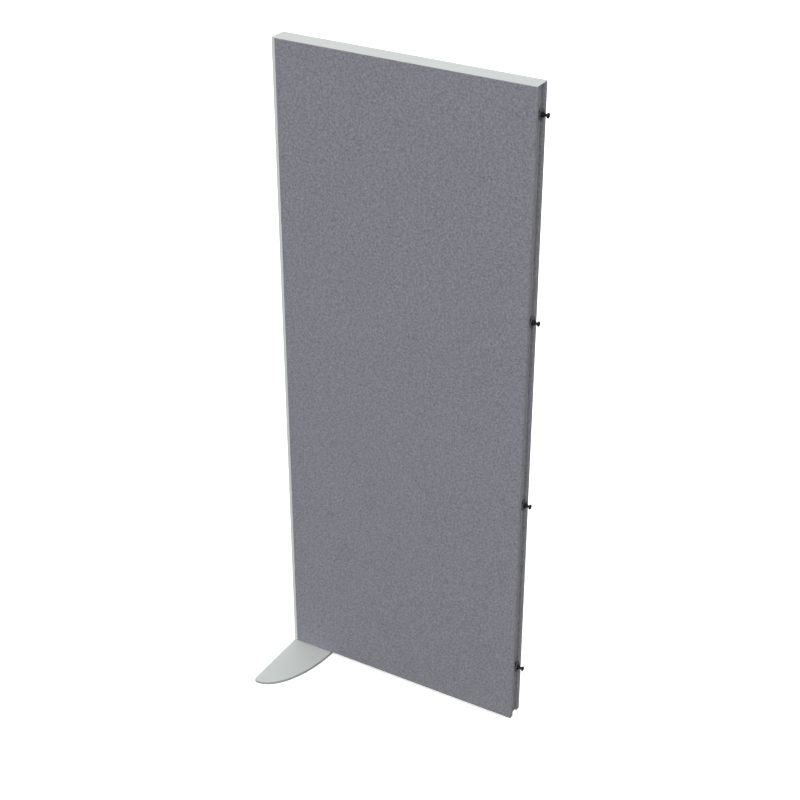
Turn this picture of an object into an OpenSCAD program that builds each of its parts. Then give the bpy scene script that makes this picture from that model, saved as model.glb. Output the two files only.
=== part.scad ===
// Fabric-covered partition wall, extension element.
// Two upholstered boards are clipped to the front and back of a slim extruded frame.
// The end with the foot plate is closed by a trim. The other end has a groove with
// mushroom-headed studs, which hook into the next element of the wall.
// Frame: +Z is up, -Y is the front, +X points to the joining end. The floor is z = 0,
// and the origin is under the middle of the whole element, studs included.

/* [Overall] */
// Width from the outer face of the end trim to the ends of the boards
wall_w = 700; // [500:10:1200]
// Height from the floor to the top of the cap
wall_h = 1800; // [1200:10:2200]

/* [Upholstered boards] */
// Thickness of the core of a board
board_core_t = 8; // [6:0.5:16]
// Thickness of the padding on a board
padding_t = 3; // [2:0.5:10]
// Thickness of the fabric cover
fabric_t = 1; // [0.5:0.1:1.5]
// Corner radius of a cover, seen from the front
cover_corner_r = 4; // [3:0.5:12]
// Width of the hem that is turned over onto the back of a board
hem_w = 14; // [13:1:16]
// Gap between the end trim and the covers
trim_gap = 0.3; // [0.1:0.1:2]

/* [Foot] */
// Thickness of the foot plate
foot_t = 8; // [6:0.5:12]
// Length of the foot plate across the wall
foot_len = 472; // [300:2:600]
// Depth of the foot plate along the wall
foot_depth = 124; // [100:1:160]
// Radius of the two outer corners of the foot plate
foot_corner_r = 9; // [3:0.5:20]
// Gap between the foot plate and the boards
foot_gap = 1.5; // [1:0.5:6]
// Diameter of a floor pad
pad_d = 18; // [10:1:24]
// Thickness of a floor pad
pad_t = 1.5; // [1:0.1:3]
// How far a floor pad stands below the foot plate
pad_proud = 0.5; // [0.3:0.1:0.9]

/* [Frame extrusions] */
// Thickness of the frame between the boards
frame_t = 25; // [18:0.5:30]
// Depth of a post along the wall
post_d = 50; // [44:1:70]
// Height of a rail
rail_h = 40; // [34:1:60]
// Wall thickness of the extrusions
wall_t = 1.8; // [1.5:0.1:2]
// Width of the slot in an extrusion
slot_w = 8.2; // [8:0.1:10]
// Width of the channel behind the slot
channel_w = 13; // [12:0.1:14]
// Depth of the channel behind the slot
channel_d = 6; // [5.8:0.1:8]
// Height of the bottom rail above the floor
bottom_rail_z = 72; // [70:1:120]
// How far the joining post is set back from the ends of the boards
groove_d = 8; // [6:0.5:12]

/* [Trims] */
// Thickness of the end trim along the wall
trim_d = 8.5; // [5:0.5:15]
// Sheet thickness of the end trim
trim_t = 2; // [1:0.1:3]
// Thickness of the top cap
cap_t = 1.5; // [1:0.1:4]
// Thickness of a clip leg
leg_t = 1.2; // [0.8:0.1:1.5]
// How far a clip leg's barb stands out
barb = 0.8; // [0.4:0.1:1]

/* [Connector studs] */
// Height of the lowest stud above the floor
stud_first_z = 172; // [150:0.5:250]
// How far the highest stud is below the top of the wall
stud_top_inset = 71.5; // [65:0.5:120]
// How far the studs stand out of the boards
stud_out = 19; // [16:0.5:30]
// Diameter of a stud's head
head_d = 13.5; // [12:0.5:18]
// Thickness of a stud's head
head_t = 3.4; // [3:0.1:5]
// Diameter of a stud's neck
neck_d = 7; // [6:0.5:9]
// Diameter of a stud's collar
collar_d = 11; // [10:0.5:13]
// How far the collar stands out of the boards
collar_out = 7.5; // [5:0.5:10]
// Diameter of a stud's stem in the groove
stem_d = 10; // [8.5:0.5:12]
// Diameter of a stud washer
washer_d = 27.5; // [26:0.5:32]
// Thickness of a stud washer
washer_t = 1.5; // [1:0.1:3]

/* [Fasteners] */
// Thread diameter of the foot screws
foot_screw_d = 8; // [6:1:10]
// Distance between the two foot screws
foot_screw_pitch = 20; // [18:1:22]
// Length of a foot screw
foot_screw_len = 35; // [25:1:40]
// Thread diameter of the screws that hold the foot block
block_screw_d = 5; // [4:0.5:6]
// Height of the foot block
block_h = 56; // [54:1:60]
// Shank diameter of the rail screws
rail_screw_d = 4.2; // [3.5:0.1:5]
// How far a rail screw bites into its rail
rail_screw_bite = 18; // [10:1:30]
// Thread diameter of a stud
stud_thread_d = 6; // [5:0.5:8]
// Diameter of a panel clip's body
clip_body_d = 12; // [10:0.5:14]
// Diameter of a panel clip's neck
clip_neck_d = 7.6; // [6:0.1:8.4]
// Diameter of a panel clip's snap head
clip_head_d = 9; // [8.5:0.1:9.6]
// Radial clearance of a screw in a hole
screw_gap = 0.2; // [0.1:0.05:0.4]
// Clearance between a piece and the pocket it sits in
seat_gap = 0.15; // [0.05:0.05:0.3]

/* [Hidden] */
$fn = 64;

// How far a cut runs past the face that it opens
over = 1;

// Places along the wall
trim_x = -(wall_w + stud_out) / 2;
boards_x0 = trim_x + trim_d + trim_gap;
boards_x1 = trim_x + wall_w;
end_post_x = trim_x + trim_d;
joining_face_x = boards_x1 - groove_d;
rails_x0 = end_post_x + post_d;
rails_x1 = joining_face_x - post_d;

// Places through the wall
half_frame = frame_t / 2;
panel_t = board_core_t + padding_t + 2 * fabric_t;
half_t = half_frame + panel_t;
board_back = half_frame + fabric_t;
padding_back = board_back + board_core_t;

// Heights
foot_z = pad_proud;
foot_top = foot_z + foot_t;
panel_z0 = foot_top + foot_gap;
panel_z1 = wall_h - cap_t;

// Extrusion section: a slot and channel on the outer side, a chamber behind them
channel_floor = wall_t + channel_d;
chamber_start = channel_floor + wall_t;
port_d = rail_screw_d + 2 * screw_gap;
port_wall = 1.8;
port_ring_d = port_d + 2 * port_wall;
port_edge = 1;
port_inset = port_ring_d / 2 + port_edge;
port_web_t = 2;
rail_ports = [chamber_start + port_inset, rail_h - wall_t - port_inset];
clip_inset = (rail_ports[0] + rail_ports[1]) / 2;

// Rails, each as [height of its outer side, direction from there into the rail]
top_rail_at = [panel_z1, -1];
middle_rail_at = [(bottom_rail_z + panel_z1 + rail_h) / 2, -1];
bottom_rail_at = [bottom_rail_z, 1];
rail_places = [bottom_rail_at, middle_rail_at, top_rail_at];

// Clips
clip_edge = 60;
clip_xs = [rails_x0 + clip_edge, rails_x1 - clip_edge];
clip_body_len = 6;
clip_flange_d = 14;
clip_tip_d = 5.5;
clip_hole_d = clip_neck_d + 2 * screw_gap;
clip_head_at = half_frame - wall_t - seat_gap;
clip_tip_gap = 0.1;
clip_head_len = clip_head_at - port_ring_d / 2 - clip_tip_gap;

// Gap between the cap's legs and the posts
cap_leg_gap = 1;

// Foot screws and block
foot_screw_x = end_post_x + (chamber_start + post_d - wall_t) / 2;
foot_screw_xs = [foot_screw_x - foot_screw_pitch / 2, foot_screw_x + foot_screw_pitch / 2];
csk_t = foot_screw_d * 0.55;
hex_d = foot_screw_d * 0.7;
hex_deep = 4;
block_gap = 0.2;
block_screw_top = 8;
block_screw_pitch = 10;
block_screw_bite = 14;
block_screw_zs = [
    foot_top + block_h - block_screw_top,
    foot_top + block_h - block_screw_top - block_screw_pitch
];

// Pan heads that sit in a channel
pan_head_d = 7.6;
pan_head_t = 2.6;
pan_head_rim = 1;
drive_d = 3.5;
drive_deep = 1.5;

// Floor pads, as places inside the foot plate's outline
pad_xs = [26, 92];
pad_ys = [foot_len / 2 - 44, 70];

// Studs, one node each
stud_count = 4;
nut_t = 4;
nut_len = 22;
stud_thread_len = 7;
shoulder_d = 14;
shoulder_t = 2.5;
base_d = 12.5;
base_t = 3;
head_chamfer = 0.9;
stud_drive_d = 4.6;
stud_drive_deep = 2.5;

// Soft pieces
soft_gap = 0.1;
infill_gap = 0.3;
infill_skin = 0.2;

// Joining post plug
plug_t = 2;
plug_deep = 18;
plug_gap = 0.2;

// ---------------------------------------------------------------- outlines

// The foot plate seen from above: a straight outer side and half an ellipse
module foot_outline() {
    steps = 60;
    r = foot_corner_r;
    a = foot_depth - r;
    b = foot_len / 2;
    ellipse_points = [
        for (i = [0 : steps])
            let (t = 180 * i / steps - 90)
            [r + a * cos(t), b * sin(t)]
    ];
    polygon(ellipse_points);
    for (side = [-1, 1]) translate([r, side * (b - r)]) circle(r = r);
    translate([0, -(b - r)]) square([2 * r, 2 * (b - r)]);
}

// An upholstered board seen from the front, drawn in X and Z, inset all round
module board_outline(inset = 0) {
    w = boards_x1 - boards_x0 - 2 * inset;
    h = panel_z1 - panel_z0 - 2 * inset;
    r = max(cover_corner_r - inset, 0.5);
    translate([boards_x0 + inset, panel_z0 + inset]) {
        translate([r, 0]) square([w - 2 * r, h]);
        translate([0, r]) square([w, h - 2 * r]);
        for (x = [r, w - r], z = [r, h - r]) translate([x, z]) circle(r = r);
    }
}

// Extrusion section: the slot is at x = 0 and the depth runs along +x
module slotted_section(depth) {
    difference() {
        translate([0, -half_frame]) square([depth, frame_t]);
        translate([-over, -slot_w / 2]) square([wall_t + 2 * over, slot_w]);
        translate([wall_t, -channel_w / 2]) square([channel_d, channel_w]);
        translate([chamber_start, -half_frame + wall_t])
            square([depth - chamber_start - wall_t, frame_t - 2 * wall_t]);
    }
}

// A rail's section is the same with two round screw ports in the chamber
module rail_section() {
    slotted_section(rail_h);
    for (p = rail_ports) difference() {
        union() {
            translate([p, 0]) circle(d = port_ring_d);
            translate([p - port_web_t / 2, -half_frame + wall_t])
                square([port_web_t, frame_t - 2 * wall_t]);
        }
        translate([p, 0]) circle(d = port_d);
    }
}

// Two barbed legs that snap behind the lips of a slot; the lips' outer face is at x = 0
module clip_legs(root) {
    outer = slot_w / 2 - seat_gap;
    behind = wall_t + seat_gap;
    barb_len = leg_t / 2;
    for (side = [0, 1]) {
        translate([-root, side ? outer - leg_t : -outer])
            square([root + behind + leg_t, leg_t]);
        translate([behind, side ? outer - leg_t : -outer - barb])
            square([barb_len, leg_t + barb]);
    }
}

// ---------------------------------------------------------------- placing

// Extrudes an X-Z outline between two distances in front of the mid-plane
module layer(from, to) {
    translate([0, -from, 0]) rotate([90, 0, 0]) linear_extrude(to - from) children();
}

// Draws the front side's piece, or its copy on the rear side
module on_side(rear = false) {
    mirror([0, rear ? 1 : 0, 0]) children();
}

// A cylinder along +X, from x to x + len
module rod_x(x, d, len) {
    translate([x, 0, 0]) rotate([0, 90, 0]) cylinder(d = d, h = len);
}

// A round piece or hole that runs forward, from a distance in front of the mid-plane
module rod_out(from, d1, d2, len) {
    translate([0, -from, 0]) rotate([90, 0, 0]) cylinder(d1 = d1, d2 = d2, h = len);
}

// Extrudes a section along X, with its slot side at a rail's outer side
module along_rail(place, x0, x1) {
    up = place[1] > 0;
    translate([up ? x1 : x0, 0, place[0]]) rotate([0, up ? -90 : 90, 0])
        linear_extrude(x1 - x0) children();
}

module for_each_clip() {
    for (x = clip_xs, p = rail_places)
        translate([x, 0, rail_height(p, clip_inset)]) children();
}

function rail_height(place, depth) = place[0] + place[1] * depth;
function port_heights() = [for (p = rail_places, d = rail_ports) rail_height(p, d)];
stud_pitch = (wall_h - stud_top_inset - stud_first_z) / (stud_count - 1);
function stud_z(i) = stud_first_z + i * stud_pitch;

// ---------------------------------------------------------------- foot

module foot_plate() {
    color("lightgray") difference() {
        translate([trim_x, 0, foot_z]) linear_extrude(foot_t) foot_outline();
        for (x = foot_screw_xs) translate([x, 0, 0]) {
            cylinder(d = foot_screw_d + 2 * screw_gap, h = foot_top + over);
            translate([0, 0, foot_z])
                cylinder(d1 = 2 * (foot_screw_d + screw_gap),
                         d2 = foot_screw_d + 2 * screw_gap, h = csk_t + screw_gap);
        }
        for_each_pad() translate([0, 0, foot_z - over])
            cylinder(d = pad_d + 2 * seat_gap, h = pad_t - pad_proud + over);
    }
}

module for_each_pad() {
    for (i = [0, 1], side = [-1, 1])
        translate([trim_x + pad_xs[i], side * pad_ys[i], 0]) children();
}

module foot_pads() {
    color("dimgray") for_each_pad() cylinder(d = pad_d, h = pad_t);
}

module foot_screws() {
    color("silver") for (x = foot_screw_xs) translate([x, 0, foot_z]) difference() {
        union() {
            cylinder(d1 = 2 * foot_screw_d, d2 = foot_screw_d, h = csk_t);
            cylinder(d = foot_screw_d, h = foot_screw_len);
        }
        translate([0, 0, -over]) cylinder(d = hex_d, h = hex_deep + over, $fn = 6);
    }
}

module foot_block() {
    depth = post_d - wall_t - chamber_start - 2 * block_gap;
    width = frame_t - 2 * wall_t - 2 * block_gap;
    color("gray") difference() {
        translate([end_post_x + chamber_start + block_gap, -width / 2, foot_top])
            cube([depth, width, block_h]);
        for (x = foot_screw_xs) translate([x, 0, foot_top - over])
            cylinder(d = foot_screw_d + 2 * screw_gap, h = foot_screw_len - foot_t + 2 * over);
        for (z = block_screw_zs) translate([0, 0, z])
            rod_x(end_post_x + chamber_start - over, block_screw_d + 2 * screw_gap,
                  block_screw_bite + 2 * over);
    }
}

// A pan-headed screw along +X whose head sits on the floor of a channel
module channel_screw(floor_x, d, len) {
    difference() {
        union() {
            rod_x(floor_x, d, len);
            rod_x(floor_x - pan_head_t, max(pan_head_d, d + 2 * pan_head_rim), pan_head_t);
        }
        translate([floor_x - pan_head_t - over, 0, 0]) rotate([0, 90, 0])
            cylinder(d = drive_d, h = drive_deep + over, $fn = 6);
    }
}

module foot_block_screws() {
    color("silver") for (z = block_screw_zs) translate([0, 0, z])
        channel_screw(end_post_x + channel_floor, block_screw_d, wall_t + block_screw_bite);
}

// ---------------------------------------------------------------- frame

// A post along +X from its slot side, with clearance holes for the rail screws
module post(z0, screws_d, extra_zs = []) {
    difference() {
        translate([0, 0, z0]) linear_extrude(panel_z1 - z0) slotted_section(post_d);
        for (z = port_heights()) translate([0, 0, z])
            rod_x(channel_floor - over, screws_d + 2 * screw_gap, post_d);
        for (z = extra_zs) translate([0, 0, z])
            rod_x(channel_floor - over, block_screw_d + 2 * screw_gap, wall_t + 2 * over);
    }
}

module end_post() {
    color("silver") translate([end_post_x, 0, 0])
        post(foot_top, rail_screw_d, block_screw_zs);
}

module joining_post() {
    color("silver") translate([joining_face_x, 0, 0]) mirror([1, 0, 0])
        post(panel_z0 + plug_t, rail_screw_d);
}

module joining_post_plug() {
    spigot_d = post_d - wall_t - chamber_start - 2 * plug_gap;
    spigot_w = frame_t - 2 * wall_t - 2 * plug_gap;
    color("dimgray") translate([joining_face_x, 0, panel_z0]) mirror([1, 0, 0]) {
        translate([0, -half_frame, 0]) cube([post_d, frame_t, plug_t]);
        translate([chamber_start + plug_gap, -spigot_w / 2, 0])
            cube([spigot_d, spigot_w, plug_t + plug_deep]);
    }
}

module rail(place) {
    color("silver") difference() {
        along_rail(place, rails_x0, rails_x1) rail_section();
        for (x = clip_xs) translate([x, 0, rail_height(place, clip_inset)])
            rod_out(-half_frame - over, clip_hole_d, clip_hole_d, frame_t + 2 * over);
    }
}

module top_rail() rail(top_rail_at);
module middle_rail() rail(middle_rail_at);
module bottom_rail() rail(bottom_rail_at);

// The screws of one post, drawn along +X from its slot side
module post_screws() {
    color("silver") for (z = port_heights()) translate([0, 0, z])
        channel_screw(channel_floor, rail_screw_d, post_d - channel_floor + rail_screw_bite);
}

module end_post_screws() {
    translate([end_post_x, 0, 0]) post_screws();
}

module joining_post_screws() {
    translate([joining_face_x, 0, 0]) mirror([1, 0, 0]) post_screws();
}

// ---------------------------------------------------------------- infill

module infill(z0, z1) {
    t = 2 * (board_back - infill_skin);
    color("darkgray") translate([rails_x0 + infill_gap, -t / 2, z0 + infill_gap])
        cube([rails_x1 - rails_x0 - 2 * infill_gap, t, z1 - z0 - 2 * infill_gap]);
}

module upper_infill() infill(middle_rail_at[0], panel_z1 - rail_h);
module lower_infill() infill(bottom_rail_z + rail_h, middle_rail_at[0] - rail_h);

// ---------------------------------------------------------------- upholstered boards

module board(rear = false) {
    color("burlywood") on_side(rear) difference() {
        layer(board_back, padding_back) board_outline(fabric_t + soft_gap);
        for_each_clip()
            rod_out(board_back - over, clip_body_d + 2 * seat_gap, clip_body_d + 2 * seat_gap,
                    clip_body_len + over + seat_gap);
    }
}

module padding(rear = false) {
    color("whitesmoke") on_side(rear)
        layer(padding_back, padding_back + padding_t) board_outline(fabric_t + soft_gap);
}

// The fabric wraps round the face and edges, with a hem on the back that is cut clear
// of the clips
module cover(rear = false) {
    color([0.49, 0.49, 0.52]) on_side(rear) difference() {
        layer(half_frame, half_t) board_outline();
        layer(board_back, half_t - fabric_t) board_outline(fabric_t);
        layer(half_frame - over, board_back + fabric_t / 2) board_outline(hem_w);
        for_each_clip()
            rod_out(half_frame - over, clip_flange_d + 2 * seat_gap,
                    clip_flange_d + 2 * seat_gap, fabric_t + over);
    }
}

// A push-in clip: a body in the board, a flange between board and rail, and a snap head
module clips(rear = false) {
    color("white") on_side(rear) for_each_clip() {
        rod_out(board_back, clip_body_d, clip_body_d, clip_body_len);
        rod_out(half_frame, clip_flange_d, clip_flange_d, board_back - half_frame);
        rod_out(clip_head_at, clip_neck_d, clip_neck_d, half_frame - clip_head_at);
        rod_out(clip_head_at - clip_head_len, clip_tip_d, clip_head_d, clip_head_len);
    }
}

module front_board() board();
module front_padding() padding();
module front_cover() cover();
module front_clips() clips();
module rear_board() board(true);
module rear_padding() padding(true);
module rear_cover() cover(true);
module rear_clips() clips(true);

// ---------------------------------------------------------------- trims

module end_trim() {
    color("gainsboro") translate([trim_x, 0, foot_top])
        linear_extrude(panel_z1 - foot_top) {
            translate([0, -half_t]) square([trim_t, 2 * half_t]);
            for (y = [-half_t, half_t - trim_t]) translate([0, y]) square([trim_d, trim_t]);
            translate([trim_d, 0]) clip_legs(trim_d - trim_t / 2);
        }
}

module top_cap() {
    color("gainsboro") {
        translate([trim_x, -half_t, panel_z1]) cube([wall_w, 2 * half_t, cap_t]);
        along_rail(top_rail_at, rails_x0 + cap_leg_gap, rails_x1 - cap_leg_gap)
            clip_legs(cap_t / 2);
    }
}

// ---------------------------------------------------------------- connector studs

module for_each_stud(x) {
    for (i = [0 : stud_count - 1]) translate([x, 0, stud_z(i)]) children();
}

module slot_nuts() {
    w = channel_w - 2 * seat_gap;
    color("gray") for_each_stud(joining_face_x - wall_t - nut_t) difference() {
        translate([0, -w / 2, -nut_len / 2]) cube([nut_t, w, nut_len]);
        rod_x(-over, stud_thread_d + 2 * screw_gap, nut_t + 2 * over);
    }
}

module stud_washers() {
    color([0.3, 0.3, 0.32]) for_each_stud(boards_x1) difference() {
        rod_x(0, washer_d, washer_t);
        rod_x(-over, stem_d + 2 * screw_gap, washer_t + 2 * over);
    }
}

// A turned stud: thread, base, stem through the groove, shoulder, collar, neck and head
module connector_stud(i) {
    head_x = stud_out - head_t;
    color([0.08, 0.08, 0.09]) translate([boards_x1, 0, stud_z(i)]) difference() {
        union() {
            rod_x(-groove_d - stud_thread_len, stud_thread_d, stud_thread_len);
            rod_x(-groove_d, base_d, base_t);
            rod_x(-groove_d, stem_d, groove_d + washer_t);
            rod_x(washer_t, shoulder_d, shoulder_t);
            rod_x(washer_t, collar_d, collar_out - washer_t);
            rod_x(washer_t, neck_d, head_x - washer_t);
            rod_x(head_x, head_d, head_t - head_chamfer);
            translate([stud_out - head_chamfer, 0, 0]) rotate([0, 90, 0])
                cylinder(d1 = head_d, d2 = head_d - 2 * head_chamfer, h = head_chamfer);
        }
        translate([stud_out - stud_drive_deep, 0, 0]) rotate([0, 90, 0])
            cylinder(d = stud_drive_d, h = stud_drive_deep + over, $fn = 6);
    }
}

foot_plate();
foot_pads();
foot_screws();
foot_block();
foot_block_screws();
end_post();
end_trim();
joining_post();
joining_post_plug();
top_rail();
middle_rail();
bottom_rail();
end_post_screws();
joining_post_screws();
upper_infill();
lower_infill();
front_board();
front_padding();
front_cover();
front_clips();
rear_board();
rear_padding();
rear_cover();
rear_clips();
top_cap();
slot_nuts();
stud_washers();
connector_stud(0);  // connector_stud_1
connector_stud(1);  // connector_stud_2
connector_stud(2);  // connector_stud_3
connector_stud(3);  // connector_stud_4
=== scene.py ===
"""Looks of a fabric-covered partition wall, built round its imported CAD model.

Everything is in metres in the CAD model's frame: +Z is up, -Y is the front, +X points to
the joining end, and the floor is z = 0.
"""

import math

import bmesh
import bpy
import numpy as np
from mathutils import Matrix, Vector, noise


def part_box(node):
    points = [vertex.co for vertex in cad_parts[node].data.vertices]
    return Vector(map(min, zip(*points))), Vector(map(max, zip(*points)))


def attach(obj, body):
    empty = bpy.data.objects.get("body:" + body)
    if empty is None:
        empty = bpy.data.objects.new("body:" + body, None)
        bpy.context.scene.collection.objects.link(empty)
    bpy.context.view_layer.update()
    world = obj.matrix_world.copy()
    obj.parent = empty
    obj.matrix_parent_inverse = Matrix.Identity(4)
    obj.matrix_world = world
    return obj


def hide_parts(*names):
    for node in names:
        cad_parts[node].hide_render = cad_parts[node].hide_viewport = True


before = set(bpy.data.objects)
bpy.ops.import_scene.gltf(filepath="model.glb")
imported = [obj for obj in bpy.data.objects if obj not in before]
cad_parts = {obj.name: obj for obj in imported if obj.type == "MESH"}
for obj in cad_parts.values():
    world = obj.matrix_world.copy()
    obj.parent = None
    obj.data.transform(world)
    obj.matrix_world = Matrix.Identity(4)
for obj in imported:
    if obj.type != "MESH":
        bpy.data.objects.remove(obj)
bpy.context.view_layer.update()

MM = 0.001

# The covers, as they wrap round the boards
COVER_CORNER_R = 4 * MM  # seen from the front
FRONT_EDGE_R = 1.6 * MM
BACK_EDGE_R = 3 * MM
HEM = 14 * MM

# The boards, the wadding and the infill
BOARD_EDGE_R = 1.9 * MM
BACK_FACE_REACH = 0.2 * MM  # how near a board's back face an edge on it lies
WADDING_INSET = 1.1 * MM  # from a cover's outline to its wadding's
WADDING_FRONT_R = 0.6 * MM
WADDING_BACK = [(1.5 * MM, 0), (0.3 * MM, 0.1 * MM), (0, 0.5 * MM)]  # (inset, depth) steps
INFILL_CORNER_R = 5 * MM  # seen from the front
INFILL_EDGE_R = 3 * MM

# Unevenness of the soft pieces: how high its waves are and how long
BROAD_LIFT, BROAD_WAVE = 0.22 * MM, 0.11
FINE_LIFT, FINE_WAVE = 0.1 * MM, 0.035
INFILL_LIFT, INFILL_WAVE = 0.25 * MM, 0.05
EVEN_SHARE = 0.6  # of a cover's depth, from its back, that has none
WADDING_SINK = 0.05 * MM  # how far the wadding's face lies below the felt's waves

# Where on the noise each piece's waves are taken from
FELT_SEED, INFILL_SEED = 3.7, 11.3
FINE_SEED = 7  # past the broad waves' place
SEED_STEP = 20  # from the front or upper piece to the rear or lower one

# Mesh sizes
FACE_STEP = 7.5 * MM  # on a cover's face
FLEECE_STEP = 14 * MM  # on the faces of wadding and infill
CORNER_STEPS = 10  # steps round a soft piece's corner
EDGE_STEPS = 7  # steps round its edge
CAD_WELD = 0.001 * MM  # CAD points this near each other become one
SOFT_WELD = 0.002 * MM

# Angles in degrees between neighbouring faces
FLAT_ANGLE = 0.3  # up to this they become one
SHARP_ANGLE = 30  # past this their edge is sharp
EASED_SHARP_ANGLE = 35


# ---------------------------------------------------------------- camera and light

# The view is about 30 degrees to the right of the front and 30 degrees above the horizon.
AZIMUTH = math.radians(30.07)
ELEVATION = math.radians(29.9)
AIM = Vector((-0.02195, 0, 0.893))
DISTANCE = 4.2767
LENS, SENSOR = 75.12, 36  # millimetres
FAR = 100  # metres that the camera sees


def rotation_to(direction):
    """The rotation of a camera or lamp that points this way."""
    return direction.to_track_quat("-Z", "Y").to_euler()


def make_camera():
    camera = bpy.data.objects.new("camera", bpy.data.cameras.new("camera"))
    bpy.context.scene.collection.objects.link(camera)
    back = Vector(
        (
            math.sin(AZIMUTH) * math.cos(ELEVATION),
            -math.cos(AZIMUTH) * math.cos(ELEVATION),
            math.sin(ELEVATION),
        )
    )
    camera.location = AIM + back * DISTANCE
    camera.rotation_euler = rotation_to(-back)
    camera.data.lens = LENS
    camera.data.sensor_width = SENSOR
    camera.data.clip_end = FAR
    bpy.context.scene.camera = camera


# Where the key lamp shines from, and how bright it, the sky and the floor are
KEY_FROM = Vector((0.12, -0.98, 0.15))
KEY_SHARE = 0.42
KEY_SPREAD = math.radians(50)
SKY_SHARE = 1.22
SKY_SEEN = 1.1  # as the camera sees it: just over white
FLOOR_REACH = 40  # metres each way
FLOOR_GREY = 0.93
FLOOR_BOUNCE = 0.12  # the grey that lights the wall from below
FLOOR_LIFT = 0.55  # its own light, as the camera sees it


def linear_grey(value):
    """A grey given in linear light."""
    return (value, value, value, 1)


def only_seen(tree, plain, seen, output):
    """Gives the camera one shader and everything else the other."""
    path = tree.nodes.new("ShaderNodeLightPath")
    mix = tree.nodes.new("ShaderNodeMixShader")
    tree.links.new(path.outputs["Is Camera Ray"], mix.inputs[0])
    tree.links.new(plain.outputs[0], mix.inputs[1])
    tree.links.new(seen.outputs[0], mix.inputs[2])
    tree.links.new(mix.outputs[0], tree.nodes[output].inputs["Surface"])


def make_key():
    """One broad lamp, low in front of the wall."""
    data = bpy.data.lights.new("key", "SUN")
    data.energy = KEY_SHARE * math.pi
    data.angle = KEY_SPREAD
    lamp = bpy.data.objects.new("key", data)
    lamp.rotation_euler = rotation_to(-KEY_FROM)
    bpy.context.scene.collection.objects.link(lamp)


def make_sky():
    """An even sky that looks white."""
    world = bpy.data.worlds.new("sky")
    bpy.context.scene.world = world
    world.use_nodes = True
    tree = world.node_tree
    lighting = tree.nodes["Background"]
    lighting.inputs["Color"].default_value = linear_grey(1)
    lighting.inputs["Strength"].default_value = SKY_SHARE
    seen = tree.nodes.new("ShaderNodeBackground")
    seen.inputs["Color"].default_value = linear_grey(1)
    seen.inputs["Strength"].default_value = SKY_SEEN
    only_seen(tree, lighting, seen, "World Output")


def make_floor():
    """A pale floor, lit so brightly that only the shadow right under the wall shows."""
    mesh = bpy.data.meshes.new("floor")
    corners = [(-1, -1), (1, -1), (1, 1), (-1, 1)]
    points = [(x * FLOOR_REACH, y * FLOOR_REACH, 0) for x, y in corners]
    mesh.from_pydata(points, [], [(0, 1, 2, 3)])
    floor = bpy.data.objects.new("floor", mesh)
    bpy.context.scene.collection.objects.link(floor)
    material, tree, shader = new_material("pale_floor")
    shader.inputs["Base Color"].default_value = linear_grey(FLOOR_GREY)
    shader.inputs["Roughness"].default_value = 0.9
    shader.inputs["Specular IOR Level"].default_value = 0.0
    shader.inputs["Emission Color"].default_value = linear_grey(1)
    shader.inputs["Emission Strength"].default_value = FLOOR_LIFT
    plain = tree.nodes.new("ShaderNodeBsdfDiffuse")
    plain.inputs["Color"].default_value = linear_grey(FLOOR_BOUNCE)
    only_seen(tree, plain, shader, "Material Output")
    mesh.materials.append(material)


# ---------------------------------------------------------------- material helpers


DISPLAY_GAMMA = 2.2

# The Mix node's sockets that are for colours
MIX_SHARE, MIX_FIRST, MIX_SECOND, MIX_RESULT = 0, 6, 7, 2


def new_material(name):
    material = bpy.data.materials.new(name)
    material.use_nodes = True
    tree = material.node_tree
    return material, tree, tree.nodes["Principled BSDF"]


def grey(value, tint=(1, 1, 1)):
    """A grey given as a 0-255 display value, tinted, in linear light."""
    return (*[(value * t / 255) ** DISPLAY_GAMMA for t in tint], 1)


def put(tree, socket, value):
    """Links a socket to another node's output, or sets its value."""
    if isinstance(value, bpy.types.NodeSocket):
        tree.links.new(value, socket)
    else:
        socket.default_value = value


def object_place(tree):
    return tree.nodes.new("ShaderNodeTexCoord").outputs["Object"]


def stretched(tree, place, scale):
    """A place scaled by axis, so that a pattern put on it is longer where the scale is low."""
    node = tree.nodes.new("ShaderNodeMapping")
    tree.links.new(place, node.inputs["Vector"])
    node.inputs["Scale"].default_value = scale
    return node.outputs[0]


def clouds(tree, place, per_metre, detail, rough=0.5, twist=0.0):
    """Noise with about per_metre blotches to the metre, from 0 to 1."""
    node = tree.nodes.new("ShaderNodeTexNoise")
    tree.links.new(place, node.inputs["Vector"])
    node.inputs["Scale"].default_value = per_metre
    node.inputs["Detail"].default_value = detail
    node.inputs["Roughness"].default_value = rough
    node.inputs["Distortion"].default_value = twist
    return node.outputs[0]


def cells(tree, place, per_metre):
    node = tree.nodes.new("ShaderNodeTexVoronoi")
    tree.links.new(place, node.inputs["Vector"])
    node.inputs["Scale"].default_value = per_metre
    return node.outputs["Distance"]


def between(tree, value, low, high, start=0.0, end=1.0):
    """Maps start..end of a value to low..high."""
    node = tree.nodes.new("ShaderNodeMapRange")
    tree.links.new(value, node.inputs["Value"])
    node.inputs["From Min"].default_value = start
    node.inputs["From Max"].default_value = end
    node.inputs["To Min"].default_value = low
    node.inputs["To Max"].default_value = high
    return node.outputs[0]


def sum_of(tree, *parts):
    """The sum of (value, weight) pairs."""
    total = 0.0
    for value, weight in parts:
        node = tree.nodes.new("ShaderNodeMath")
        node.operation = "MULTIPLY_ADD"
        put(tree, node.inputs[0], value)
        node.inputs[1].default_value = weight
        put(tree, node.inputs[2], total)
        total = node.outputs[0]
    return total


def blended(tree, share, first, second):
    node = tree.nodes.new("ShaderNodeMix")
    node.data_type = "RGBA"
    put(tree, node.inputs[MIX_SHARE], share)
    put(tree, node.inputs[MIX_FIRST], first)
    put(tree, node.inputs[MIX_SECOND], second)
    return node.outputs[MIX_RESULT]


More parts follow.
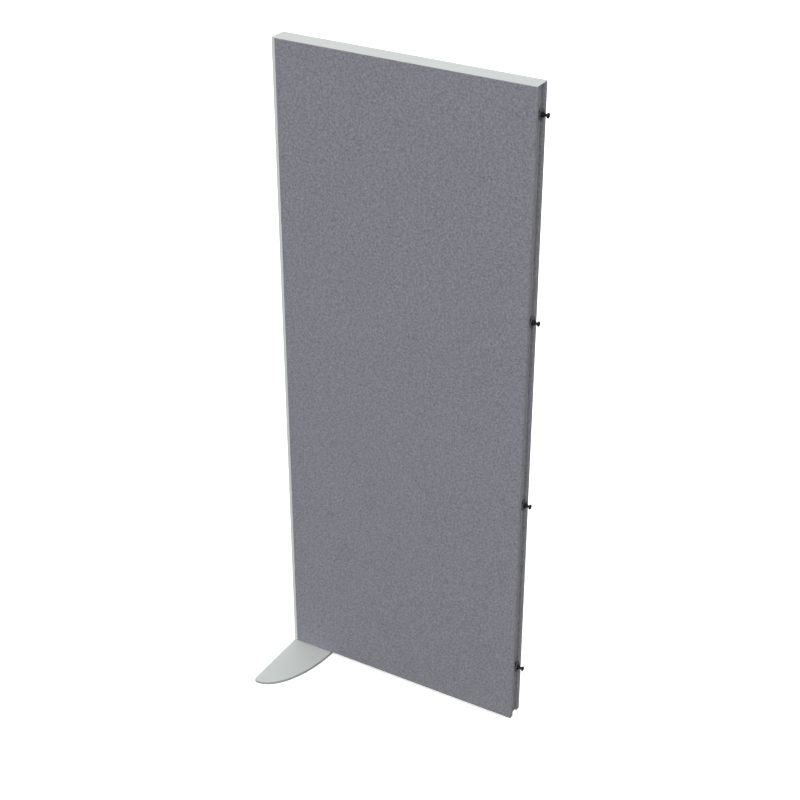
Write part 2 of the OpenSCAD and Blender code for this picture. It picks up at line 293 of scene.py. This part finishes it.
def relief(tree, shader, height, depth, strength):
    node = tree.nodes.new("ShaderNodeBump")
    node.inputs["Distance"].default_value = depth
    node.inputs["Strength"].default_value = strength
    tree.links.new(height, node.inputs["Height"])
    tree.links.new(node.outputs[0], shader.inputs["Normal"])


# ---------------------------------------------------------------- materials


def make_felt():
    """Grey melange felt: clumps of a few millimetres and curly fibres between them."""
    material, tree, shader = new_material("felt")
    place = object_place(tree)
    clump = clouds(tree, place, 190, detail=2.0, rough=0.55, twist=0.4)
    strands = stretched(tree, place, (1, 1, 1.6))
    fibre = clouds(tree, strands, 620, detail=4.0, rough=0.7, twist=2.2)
    wide = clouds(tree, place, 7, detail=2.0)
    tone = sum_of(tree, (clump, 0.64), (fibre, 0.33), (wide, 0.03))
    share = between(tree, tone, 0, 1, start=0.34, end=0.66)
    dark, light = grey(101, (1, 1, 1.07)), grey(140, (1, 1, 1.06))
    tree.links.new(blended(tree, share, dark, light), shader.inputs["Base Color"])
    tree.links.new(between(tree, fibre, 0.85, 1.0), shader.inputs["Roughness"])
    shader.inputs["Specular IOR Level"].default_value = 0.15
    shader.inputs["Sheen Weight"].default_value = 0.12
    shader.inputs["Sheen Roughness"].default_value = 0.5
    relief(tree, shader, sum_of(tree, (clump, 0.6), (fibre, 0.4)), depth=0.9 * MM, strength=0.6)
    return material


# Display greys of the powder coat on most of it, on the foot plate's edge and on the cap; the
# foot plate's edge grey is painted shade
COAT_GREYS = (191, 158, 182)
COAT_SPREAD = 9  # from its darker to its lighter patches
COAT_TINT = (0.974, 1, 0.988)
FOOT_EDGE_SHADE_TOP = (7.2 * MM, 8.2 * MM)  # heights between which the painted shade on the plate's edge fades
CAP_T = 1.5 * MM
CAP_FADE = 0.2 * MM


def make_powder_coat():
    """Light grey powder coat with a fine orange peel. It is darker round the foot plate's edge,
    where shade is painted in, and a little darker on the cap."""
    material, tree, shader = new_material("light_grey_powder_coat")
    place = object_place(tree)
    wide = clouds(tree, place, 5, detail=3.0)
    peel = clouds(tree, place, 750, detail=2.0, rough=0.5)
    speck = clouds(tree, place, 2600, detail=1.0)
    tone = sum_of(tree, (wide, 0.5), (speck, 0.5))
    share = between(tree, tone, 0, 1, start=0.3, end=0.7)
    clean, edge, cap = [
        blended(tree, share, grey(v, COAT_TINT), grey(v + COAT_SPREAD, COAT_TINT))
        for v in COAT_GREYS
    ]
    height = tree.nodes.new("ShaderNodeSeparateXYZ")
    tree.links.new(place, height.inputs[0])
    # painted shade: below these heights the foot plate's edge takes the darker edge grey
    rim = between(tree, height.outputs["Z"], 1, 0, *FOOT_EDGE_SHADE_TOP)
    cap_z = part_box("top_cap")[1].z - CAP_T
    top = between(tree, height.outputs["Z"], 0, 1, start=cap_z - CAP_FADE, end=cap_z)
    colour = blended(tree, top, blended(tree, rim, clean, edge), cap)
    tree.links.new(colour, shader.inputs["Base Color"])
    tree.links.new(between(tree, peel, 0.48, 0.62), shader.inputs["Roughness"])
    shader.inputs["Specular IOR Level"].default_value = 0.4
    relief(tree, shader, peel, depth=0.12 * MM, strength=0.5)
    return material


def make_aluminium():
    """Matt anodised aluminium with faint lines along the extrusions."""
    material, tree, shader = new_material("aluminium")
    place = object_place(tree)
    up = clouds(tree, stretched(tree, place, (1, 1, 0.01)), 1500, detail=3.0, rough=0.6)
    along = clouds(tree, stretched(tree, place, (0.01, 1, 1)), 1500, detail=3.0, rough=0.6)
    lines = sum_of(tree, (up, 0.5), (along, 0.5))
    dark, light = grey(196, (1, 1, 1.01)), grey(214, (1, 1, 1.01))
    tree.links.new(blended(tree, lines, dark, light), shader.inputs["Base Color"])
    tree.links.new(between(tree, lines, 0.4, 0.56), shader.inputs["Roughness"])
    shader.inputs["Metallic"].default_value = 0.84
    relief(tree, shader, lines, depth=0.03 * MM, strength=0.4)
    return material


def make_zinc():
    """Bright zinc plating, a little cloudy."""
    material, tree, shader = new_material("zinc_steel")
    place = object_place(tree)
    cloud = clouds(tree, place, 240, detail=3.0, rough=0.6)
    grain = clouds(tree, place, 2200, detail=2.0)
    dark, light = grey(172, (1, 1.01, 1.03)), grey(204, (1, 1.01, 1.03))
    tree.links.new(blended(tree, cloud, dark, light), shader.inputs["Base Color"])
    tree.links.new(between(tree, cloud, 0.24, 0.46), shader.inputs["Roughness"])
    shader.inputs["Metallic"].default_value = 1
    relief(tree, shader, grain, depth=0.03 * MM, strength=0.4)
    return material


def make_black_stud():
    """Glossy black finish with fine wear."""
    material, tree, shader = new_material("black_stud")
    place = object_place(tree)
    wear = clouds(tree, place, 900, detail=4.0, rough=0.7)
    dark, light = grey(16, (1, 1, 1.15)), grey(36, (1, 1, 1.15))
    share = between(tree, wear, 0, 1, start=0.45, end=0.8)
    tree.links.new(blended(tree, share, dark, light), shader.inputs["Base Color"])
    tree.links.new(between(tree, wear, 0.16, 0.34), shader.inputs["Roughness"])
    shader.inputs["Specular IOR Level"].default_value = 0.3
    relief(tree, shader, wear, depth=0.02 * MM, strength=0.4)
    return material


ROUGHNESS_SPREAD = 0.07  # each way, on plastic


def make_plastic(name, dark, light, rough):
    """Moulded plastic or rubber with a fine spark-eroded grain."""
    material, tree, shader = new_material(name)
    place = object_place(tree)
    grain = clouds(tree, place, 3200, detail=2.0, rough=0.6)
    flow = clouds(tree, place, 60, detail=2.0)
    tone = sum_of(tree, (grain, 0.5), (flow, 0.5))
    tree.links.new(blended(tree, tone, dark, light), shader.inputs["Base Color"])
    roughness = between(tree, grain, rough - ROUGHNESS_SPREAD, rough + ROUGHNESS_SPREAD)
    tree.links.new(roughness, shader.inputs["Roughness"])
    relief(tree, shader, grain, depth=0.05 * MM, strength=0.5)
    return material


def make_fleece(name, dark, light):
    """Needled fleece: matted fibres with tufts."""
    material, tree, shader = new_material(name)
    place = object_place(tree)
    tuft = clouds(tree, place, 130, detail=3.0, rough=0.6, twist=0.8)
    strands = stretched(tree, place, (1, 2.5, 1))
    fibre = clouds(tree, strands, 800, detail=4.0, rough=0.75, twist=3.0)
    tone = sum_of(tree, (tuft, 0.45), (fibre, 0.55))
    share = between(tree, tone, 0, 1, start=0.3, end=0.7)
    tree.links.new(blended(tree, share, dark, light), shader.inputs["Base Color"])
    tree.links.new(between(tree, fibre, 0.88, 1.0), shader.inputs["Roughness"])
    shader.inputs["Sheen Weight"].default_value = 0.2
    relief(tree, shader, tone, depth=1.2 * MM, strength=0.7)
    return material


def make_fibreboard():
    """Pressed wood fibre with darker flakes."""
    material, tree, shader = new_material("fibreboard")
    place = object_place(tree)
    strands = stretched(tree, place, (1, 1, 0.35))
    fibre = clouds(tree, strands, 700, detail=5.0, rough=0.7, twist=1.5)
    flake = cells(tree, stretched(tree, place, (1, 1, 0.5)), 420)
    tone = sum_of(tree, (fibre, 0.75), (flake, 0.35))
    share = between(tree, tone, 0, 1, start=0.3, end=0.75)
    dark, light = (0.2, 0.115, 0.055, 1), (0.44, 0.29, 0.155, 1)
    tree.links.new(blended(tree, share, dark, light), shader.inputs["Base Color"])
    tree.links.new(between(tree, fibre, 0.7, 0.9), shader.inputs["Roughness"])
    relief(tree, shader, fibre, depth=0.2 * MM, strength=0.5)
    return material


MATERIALS = {
    "felt": make_felt(),
    "light_grey_powder_coat": make_powder_coat(),
    "aluminium": make_aluminium(),
    "zinc_steel": make_zinc(),
    "black_stud": make_black_stud(),
    "pad_rubber": make_plastic("pad_rubber", grey(40), grey(56), rough=0.75),
    "dark_plastic": make_plastic("dark_plastic", grey(74), grey(90), rough=0.35),
    "white_plastic": make_plastic("white_plastic", grey(222), grey(234), rough=0.4),
    "infill_fleece": make_fleece("infill_fleece", grey(92), grey(158)),
    "padding_fleece": make_fleece("padding_fleece", grey(205), grey(236)),
    "fibreboard": make_fibreboard(),
}


# ---------------------------------------------------------------- mesh helpers


def add_piece(name, mesh, slot, *nodes):
    """A new piece on the wall that stands for CAD nodes."""
    piece = bpy.data.objects.new(name, mesh)
    bpy.context.scene.collection.objects.link(piece)
    mesh.materials.clear()
    mesh.materials.append(MATERIALS[slot])
    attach(piece, "root")
    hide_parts(*nodes)
    return piece


def shaded(mesh, angle):
    """Smooth shading that stays sharp where faces meet at more than an angle in degrees."""
    mesh.shade_smooth()
    mesh.set_sharp_from_angle(angle=math.radians(angle))


def keep_flats_flat(piece):
    """Lets the large faces set the shading where they meet small rounded ones."""
    modifier = piece.modifiers.new("flat_shading", "WEIGHTED_NORMAL")
    modifier.keep_sharp = True
    modifier.weight = 100


def eased(node, name, slot, radius, steps=3, chosen=None):
    """A copy of a CAD node with its sharp edges rounded. With chosen, only those edges are
    whose middle it picks."""
    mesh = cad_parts[node].data.copy()
    mesh.name = name
    bm = bmesh.new()
    bm.from_mesh(mesh)
    bmesh.ops.remove_doubles(bm, verts=bm.verts, dist=CAD_WELD)
    bmesh.ops.dissolve_limit(
        bm,
        angle_limit=math.radians(FLAT_ANGLE),
        verts=bm.verts,
        edges=bm.edges,
        use_dissolve_boundaries=False,
    )
    sharp = [
        e
        for e in bm.edges
        if len(e.link_faces) == 2
        and e.calc_face_angle(0) > math.radians(SHARP_ANGLE)
        and (chosen is None or chosen((e.verts[0].co + e.verts[1].co) / 2))
    ]
    bmesh.ops.bevel(
        bm,
        geom=sharp,
        offset=radius,
        segments=steps,
        profile=0.5,
        affect="EDGES",
        clamp_overlap=True,
    )
    bm.normal_update()
    bm.to_mesh(mesh)
    bm.free()
    shaded(mesh, EASED_SHARP_ANGLE)
    piece = add_piece(name, mesh, slot, node)
    keep_flats_flat(piece)
    return piece


def even_steps(start, end, step):
    """Places from start to end, evenly spaced at no more than step."""
    return np.linspace(start, end, max(2, math.ceil((end - start) / step) + 1))


def ring(rect, r, inset, xs, zs):
    """Points round a rounded rectangle, moved inwards by inset. Past the corner radius the
    corners are mitred. xs and zs are where the sides have points."""
    x0, z0, x1, z1 = rect
    left, right, low, high = x0 + inset, x1 - inset, z0 + inset, z1 - inset
    across, up = np.clip(xs, left, right), np.clip(zs, low, high)
    sides = [
        [(x, low) for x in across],
        [(right, z) for z in up],
        [(x, high) for x in across[::-1]],
        [(left, z) for z in up[::-1]],
    ]
    centres = [(x1 - r, z0 + r), (x1 - r, z1 - r), (x0 + r, z1 - r), (x0 + r, z0 + r)]
    mitres = [(right, low), (right, high), (left, high), (left, low)]
    points = []
    reach = r - inset
    for i, (side, (x, z), mitre) in enumerate(zip(sides, centres, mitres)):
        points += side
        for k in range(1, CORNER_STEPS):
            turn = math.radians(90 * (i - 1 + k / CORNER_STEPS))
            rounded = (x + reach * math.cos(turn), z + reach * math.sin(turn))
            points.append(rounded if inset < r else mitre)
    return points


def rounding(inset, depth, r, end):
    """A quarter circle as (inset, depth) steps, round the centre (inset, depth). It runs
    back from 90 degrees past an end angle to that angle."""
    angles = [math.radians(end + 90 * k / EDGE_STEPS) for k in range(EDGE_STEPS, -1, -1)]
    return [(inset + r * math.cos(a), depth + r * math.sin(a)) for a in angles]


def quilt(name, rect, r, profile, place, step):
    """A closed soft board. profile is its section, as (inset, depth) steps from the middle of
    one face round the edge to the middle of the other, and place turns x, depth, z into a
    point."""
    x0, z0, x1, z1 = rect
    xs, zs = even_steps(x0 + r, x1 - r, step), even_steps(z0 + r, z1 - r, step)
    rings = [(r, profile[0][1]), *profile, (r, profile[-1][1])]
    points = [(x, depth, z) for inset, depth in rings for x, z in ring(rect, r, inset, xs, zs)]
    around = len(points) // len(rings)
    faces = []
    for k in range(len(rings) - 1):
        a, b = k * around, (k + 1) * around
        for i in range(around):
            after = (i + 1) % around
            faces.append((a + i, a + after, b + after, b + i))

    # The first and last ring are each filled with a grid
    columns, rows = len(xs), len(zs)
    for k in (0, len(rings) - 1):
        first, depth = k * around, rings[k][1]
        grid = np.full((rows, columns), -1)
        gap = CORNER_STEPS - 1
        right = columns + gap
        top = right + rows + gap
        left = top + columns + gap
        grid[0, :] = first + np.arange(columns)
        grid[:, -1] = first + right + np.arange(rows)
        grid[-1, ::-1] = first + top + np.arange(columns)
        grid[::-1, 0] = first + left + np.arange(rows)
        for j in range(1, rows - 1):
            for i in range(1, columns - 1):
                grid[j, i] = len(points)
                points.append((xs[i], depth, zs[j]))
        faces += [
            (grid[j, i], grid[j, i + 1], grid[j + 1, i + 1], grid[j + 1, i])
            for j in range(rows - 1)
            for i in range(columns - 1)
        ]
    mesh = bpy.data.meshes.new(name)
    corners = [tuple(int(v) for v in face) for face in faces]
    mesh.from_pydata([place(*p) for p in points], [], corners)
    bm = bmesh.new()
    bm.from_mesh(mesh)
    bmesh.ops.remove_doubles(bm, verts=bm.verts, dist=SOFT_WELD)
    bmesh.ops.dissolve_degenerate(bm, edges=bm.edges, dist=SOFT_WELD)
    bmesh.ops.recalc_face_normals(bm, faces=bm.faces)
    bm.to_mesh(mesh)
    bm.free()
    mesh.shade_smooth()
    return mesh


def ripple(x, z, size, seed):
    """Smooth unevenness from -1 to 1, with waves of about this size."""
    return noise.noise(Vector((x / size, z / size, seed)))


def swell(x, z, seed):
    """How far the wadding and the felt over it bulge here."""
    broad = BROAD_LIFT * ripple(x, z, BROAD_WAVE, seed)
    return broad + FINE_LIFT * ripple(x, z, FINE_WAVE, seed + FINE_SEED)


# ---------------------------------------------------------------- upholstered boards


def wall_box(node):
    """(x0, z0, x1, z1) of a node seen from the front, and its y nearest to and furthest from
    the middle of the wall."""
    low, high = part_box(node)
    near, far = sorted((abs(low.y), abs(high.y)))
    return (low.x, low.z, high.x, high.z), near, far


def wrapped(inset, depth):
    """The felt's section from the hem's rim round the edge to the front, on its outer side
    or an inset below it."""
    path = [(share * HEM, inset) for share in (1, 0.8, 0.5)]
    path += rounding(BACK_EDGE_R, BACK_EDGE_R, BACK_EDGE_R - inset, 180)
    path += [(inset, d) for d in np.linspace(BACK_EDGE_R, depth - FRONT_EDGE_R, 4)[1:-1]]
    path += rounding(FRONT_EDGE_R, depth - FRONT_EDGE_R, FRONT_EDGE_R - inset, 90)
    return path


def make_cover(side, sign, seed):
    """The felt: a sheet that wraps round the face and edges of a board, with a hem on its
    back. Stretched over the wadding, its face is very slightly uneven."""
    rect, back, face = wall_box(f"{side}_cover")
    cloth = face - wall_box(f"{side}_padding")[2]
    depth = face - back
    profile = [*reversed(wrapped(cloth, depth)), *wrapped(0, depth)]

    def place(x, d, z):
        share = (d - EVEN_SHARE * depth) / ((1 - EVEN_SHARE) * depth)
        lift = min(max(share, 0), 1) * swell(x, z, seed)
        return (x, sign * (back + d + lift), z)

    mesh = quilt(f"{side}_fabric", rect, COVER_CORNER_R, profile, place, FACE_STEP)
    return add_piece(f"{side}_fabric", mesh, "felt", f"{side}_cover")


def make_wadding(side, sign, seed):
    """The padding between board and felt, rounded along its front edges."""
    rect, back, face = wall_box(f"{side}_padding")
    depth = face - back
    r = WADDING_FRONT_R
    profile = [*WADDING_BACK, (0, depth - r), *rounding(r, depth - r, r, 90)[1:]]

    def place(x, d, z):
        share = d / depth
        lift = share * swell(x, z, seed) - WADDING_SINK * share
        return (x, sign * (back + d + lift), z)

    corner_r = COVER_CORNER_R - WADDING_INSET
    mesh = quilt(f"{side}_wadding", rect, corner_r, profile, place, FLEECE_STEP)
    return add_piece(f"{side}_wadding", mesh, "padding_fleece", f"{side}_padding")


def make_core(side):
    """The fibreboard, with its back edges rounded, which the felt is pulled round."""
    (x0, z0, x1, z1), back, _ = wall_box(f"{side}_board")

    def at_rim(point):
        edge = min(point.x - x0, x1 - point.x, point.z - z0, z1 - point.z)
        return edge < COVER_CORNER_R and abs(abs(point.y) - back) < BACK_FACE_REACH

    return eased(f"{side}_board", f"{side}_core", "fibreboard", BOARD_EDGE_R, 5, at_rim)


def make_infill(name, seed):
    """A block of soft fleece between the rails."""
    rect, _, half = wall_box(f"{name}_infill")
    r = INFILL_EDGE_R
    profile = [*rounding(r, r, r, 180), *rounding(r, 2 * half - r, r, 90)]

    def place(x, d, z):
        lift = INFILL_LIFT * (ripple(x, z, INFILL_WAVE, seed) - 1)
        return (x, d - half - math.copysign(1, half - d) * lift, z)

    mesh = quilt(f"{name}_fleece", rect, INFILL_CORNER_R, profile, place, FLEECE_STEP)
    return add_piece(f"{name}_fleece", mesh, "infill_fleece", f"{name}_infill")


make_camera()
make_key()
make_sky()
make_floor()
bpy.context.scene.view_settings.view_transform = "Standard"

for step, (side, sign, infill) in enumerate((("front", -1, "upper"), ("rear", 1, "lower"))):
    felt = make_cover(side, sign, FELT_SEED + SEED_STEP * step)
    wadding = make_wadding(side, sign, FELT_SEED + SEED_STEP * step)
    core = make_core(side)
    make_infill(infill, INFILL_SEED + SEED_STEP * step)


# ---------------------------------------------------------------- metal and plastic

eased("foot_plate", "foot", "light_grey_powder_coat", radius=1.0 * MM, steps=4)
eased("end_trim", "trim", "light_grey_powder_coat", radius=0.25 * MM)
eased("top_cap", "cap", "light_grey_powder_coat", radius=0.4 * MM)
eased("stud_washers", "washers", "dark_plastic", radius=0.4 * MM)
eased("foot_pads", "pads", "pad_rubber", radius=0.4 * MM)
for i in range(1, 5):
    eased(f"connector_stud_{i}", f"stud_{i}", "black_stud", radius=0.3 * MM)

# Every other CAD node is shown as it is, in its own finish. Blender puts a dot and a number
# behind a name that is already taken.
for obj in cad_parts.values():
    slot = obj.data.materials[0].name
    obj.data.materials[0] = MATERIALS[slot.split(".")[0]]
    shaded(obj.data, SHARP_ANGLE)
